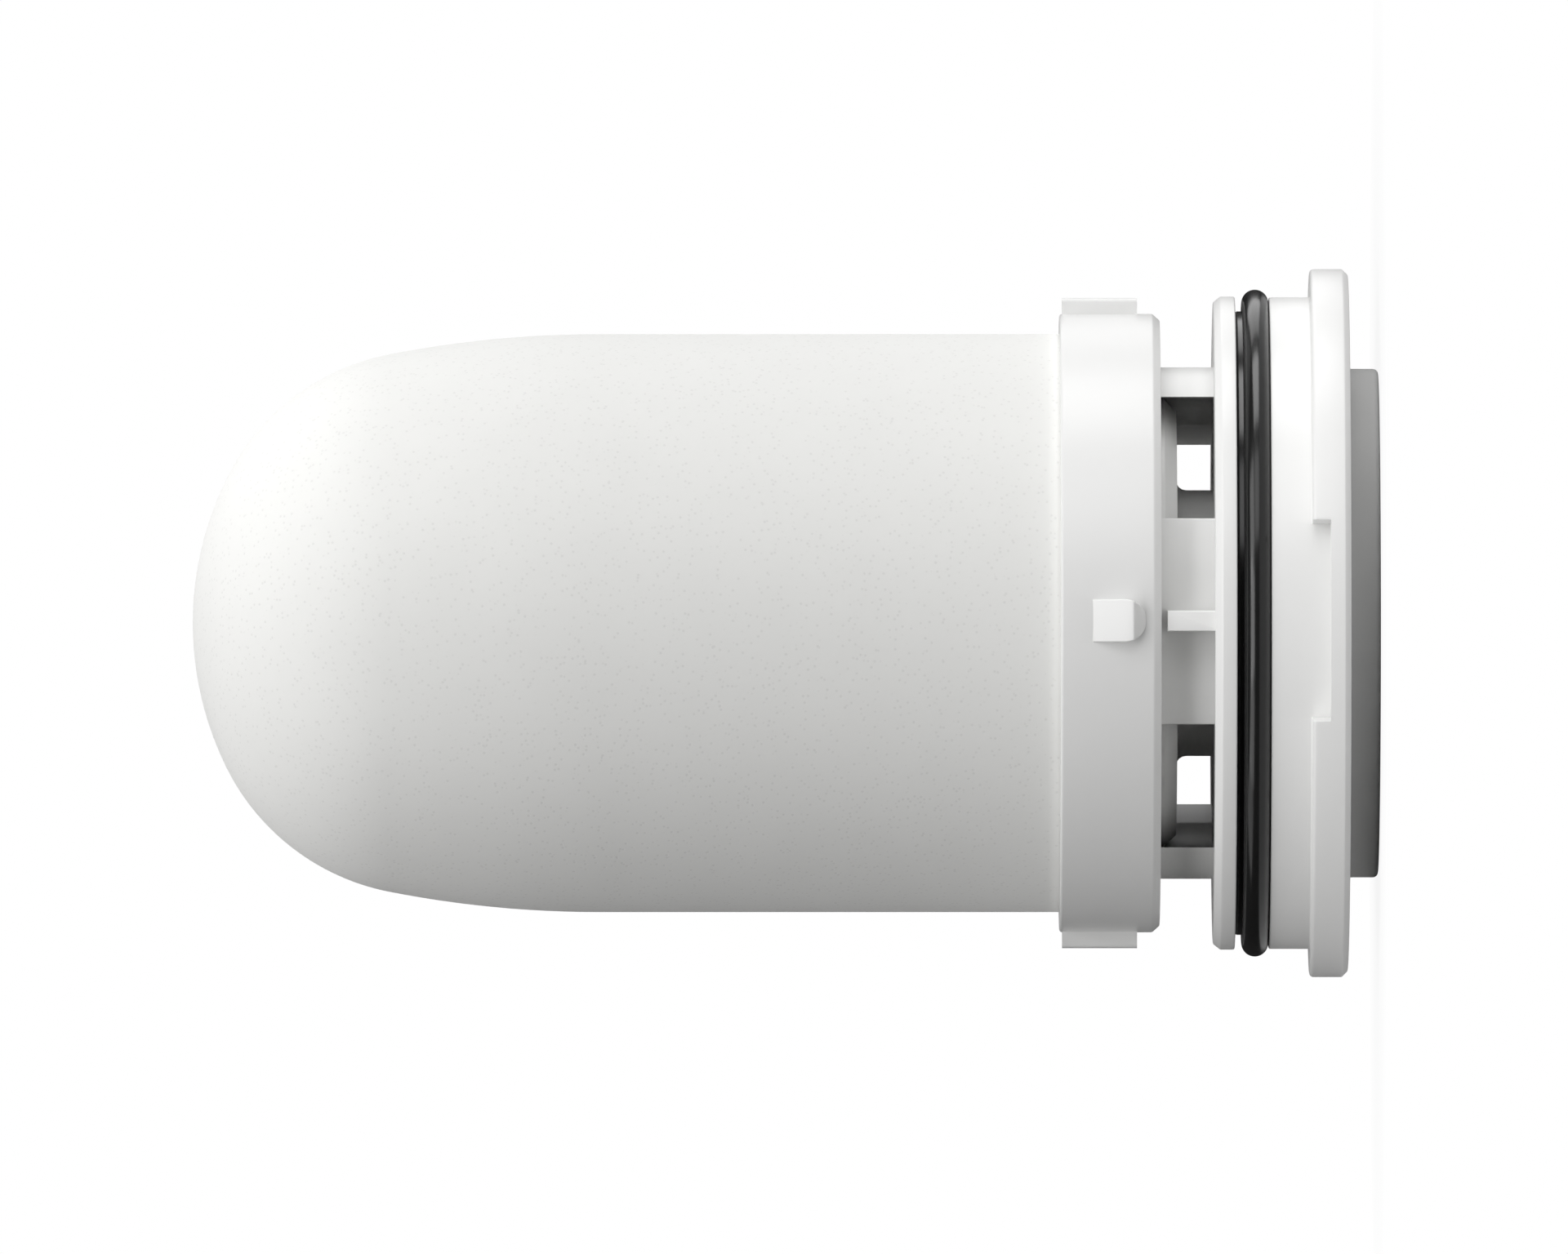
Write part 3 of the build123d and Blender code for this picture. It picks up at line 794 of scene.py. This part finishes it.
def softbox(name, place, size, power):
    """Add a square lamp that faces the middle of the cartridge."""
    lamp = bpy.data.lights.new(name, "AREA")
    lamp.shape = "RECTANGLE"
    lamp.size, lamp.size_y = size
    lamp.energy = power
    holder = bpy.data.objects.new(name, lamp)
    bpy.context.scene.collection.objects.link(holder)
    holder.location = place
    holder.rotation_mode = "QUATERNION"
    holder.rotation_quaternion = (Vector((0, 0, 0.041)) - Vector(place)).to_track_quat("-Z", "Y")
    holder.visible_camera = False
    return holder


class FILTER_OT_studio(bpy.types.Operator):
    """Set up the floor, the background, the lamps and the camera"""
    bl_idname = "filter.studio"
    bl_label = "Studio"

    def execute(self, context):
        scene = context.scene
        studio = scene.filter_studio
        # Round floor of matte white card. The camera sees it lit up to white, and pure white at its
        # rim, so that only the cartridge's soft shadow is left
        bm = bmesh.new()
        bmesh.ops.create_circle(bm, cap_ends=True, segments=96, radius=studio.floor_radius)
        mesh = bpy.data.meshes.new("studio_floor")
        bm.to_mesh(mesh)
        bm.free()
        floor = bpy.data.objects.new("studio_floor", mesh)
        scene.collection.objects.link(floor)
        material, tree = new_material("pale_card")
        card = add(tree, "ShaderNodeBsdfDiffuse", {"Color": (*linear("#DADADA"), 1)})
        bright = add(tree, "ShaderNodeEmission", {"Color": (1, 1, 1, 1), "Strength": 1.0})
        place = add(tree, "ShaderNodeTexCoord").outputs["Object"]
        away = add(tree, "ShaderNodeVectorMath", {0: place}, operation="LENGTH")
        fade = add(tree, "ShaderNodeMapRange", {
            "Value": away.outputs["Value"], "From Min": 0.02, "From Max": studio.floor_radius,
            "To Min": 0.9, "To Max": 1.0})
        rays = add(tree, "ShaderNodeLightPath")
        share = add(tree, "ShaderNodeMath", {0: rays.outputs["Is Camera Ray"], 1: fade.outputs[0]},
                    operation="MULTIPLY")
        shown = add(tree, "ShaderNodeMixShader", {
            0: share.outputs[0], 1: card.outputs[0], 2: bright.outputs[0]})
        add(tree, "ShaderNodeOutputMaterial", {"Surface": shown.outputs[0]})
        mesh.materials.append(material)
        # Even fill, with a plain white background for the camera
        world = bpy.data.worlds.new("studio")
        scene.world = world
        world.use_nodes = True
        tree = world.node_tree
        tree.nodes.clear()
        rays = add(tree, "ShaderNodeLightPath")
        fill = add(tree, "ShaderNodeBackground", {"Color": (1, 1, 1, 1), "Strength": studio.fill})
        white = add(tree, "ShaderNodeBackground", {"Color": (1, 1, 1, 1), "Strength": 1.0})
        shown = add(tree, "ShaderNodeMixShader", {
            0: rays.outputs["Is Camera Ray"], 1: fill.outputs[0], 2: white.outputs[0]})
        add(tree, "ShaderNodeOutputWorld", {"Surface": shown.outputs[0]})
        # Lamps
        for name, (direction, power) in LAMPS.items():
            place = Vector(direction).normalized() * studio.lamp_distance
            softbox(name, place, (studio.lamp_size, studio.lamp_size), power)
        # Camera, square on to the axis and rolled so that the dome points left
        camera = bpy.data.objects.new("camera", bpy.data.cameras.new("camera"))
        scene.collection.objects.link(camera)
        scene.camera = camera
        camera.data.lens = studio.lens
        distance = studio.frame_width * studio.lens / camera.data.sensor_width
        picture_right = Vector((0, 0, -1))
        picture_up = Vector((math.cos(studio.turn), -math.sin(studio.turn), 0))
        back = picture_right.cross(picture_up)
        middle = Vector((0, 0, studio.frame_middle)) - picture_up * studio.axis_offset
        turned = Matrix((picture_right, picture_up, back)).transposed().to_4x4()
        camera.matrix_world = Matrix.Translation(middle + back * distance) @ turned
        camera.data.clip_start = 0.1
        camera.data.clip_end = 3 * distance
        scene.view_settings.view_transform = "Standard"
        return {"FINISHED"}


class FILTER_PT_sidebar(bpy.types.Panel):
    """Lists the steps that model the cartridge"""
    bl_label = "Faucet Water Filter"
    bl_idname = "FILTER_PT_sidebar"
    bl_space_type = "VIEW_3D"
    bl_region_type = "UI"
    bl_category = "Filter"

    def draw(self, context):
        for operator in OPERATORS:
            self.layout.operator(operator.bl_idname)


GROUPS = {
    "filter_candle": CandleSizes,
    "filter_collar": CollarSizes,
    "filter_cap": CapSizes,
    "filter_seal": SealSizes,
    "filter_finish": FilterFinish,
    "filter_studio": FilterStudio,
}
OPERATORS = (FILTER_OT_candle, FILTER_OT_collar, FILTER_OT_cap, FILTER_OT_seal, FILTER_OT_insides,
             FILTER_OT_studio)


def register():
    for kind in (*GROUPS.values(), *OPERATORS, FILTER_PT_sidebar):
        bpy.utils.register_class(kind)
    for name, group in GROUPS.items():
        setattr(bpy.types.Scene, name, bpy.props.PointerProperty(type=group))


def unregister():
    for name in GROUPS:
        delattr(bpy.types.Scene, name)
    for kind in (FILTER_PT_sidebar, *reversed(OPERATORS), *reversed(GROUPS.values())):
        bpy.utils.unregister_class(kind)


def main():
    register()
    bpy.ops.filter.candle()
    bpy.ops.filter.collar()
    bpy.ops.filter.cap()
    bpy.ops.filter.seal()
    bpy.ops.filter.insides()
    bpy.ops.filter.studio()


if __name__ == "__main__":
    main()
